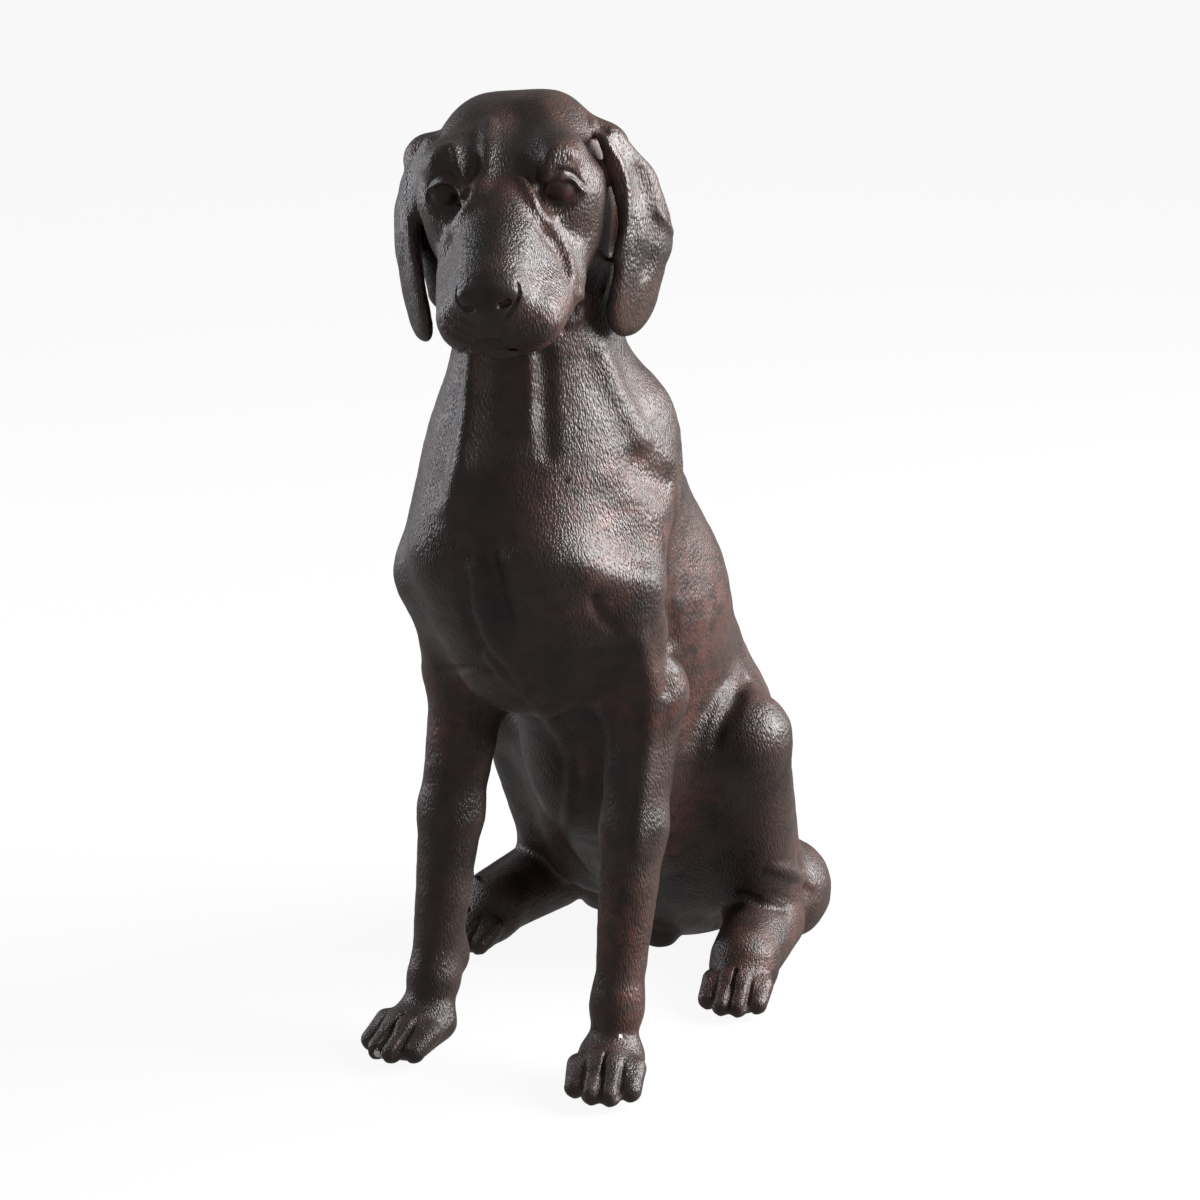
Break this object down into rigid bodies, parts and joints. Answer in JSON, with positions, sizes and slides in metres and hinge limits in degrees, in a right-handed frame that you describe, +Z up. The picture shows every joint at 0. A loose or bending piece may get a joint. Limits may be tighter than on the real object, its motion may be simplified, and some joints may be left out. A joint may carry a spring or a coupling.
{
  "type": "sitting dog figurine",
  "caption": "Sitting short-haired hound with long drop ears, cast in one piece, standing on its forepaws, hind feet and rump.",
  "frame": {"origin": "on the floor, below the middle of the figure's overall box", "axes": "+Z up, -Y the way the chest faces, +X the dog's left"},
  "size_m": [0.3343, 0.6282, 0.795],
  "materials": {
    "patina": "dark brown-black patina with rust-red tints, satin, hammered skin"
  },
  "bodies": {
    "root": {"dog": "patina"}
  },
  "joints": []
}
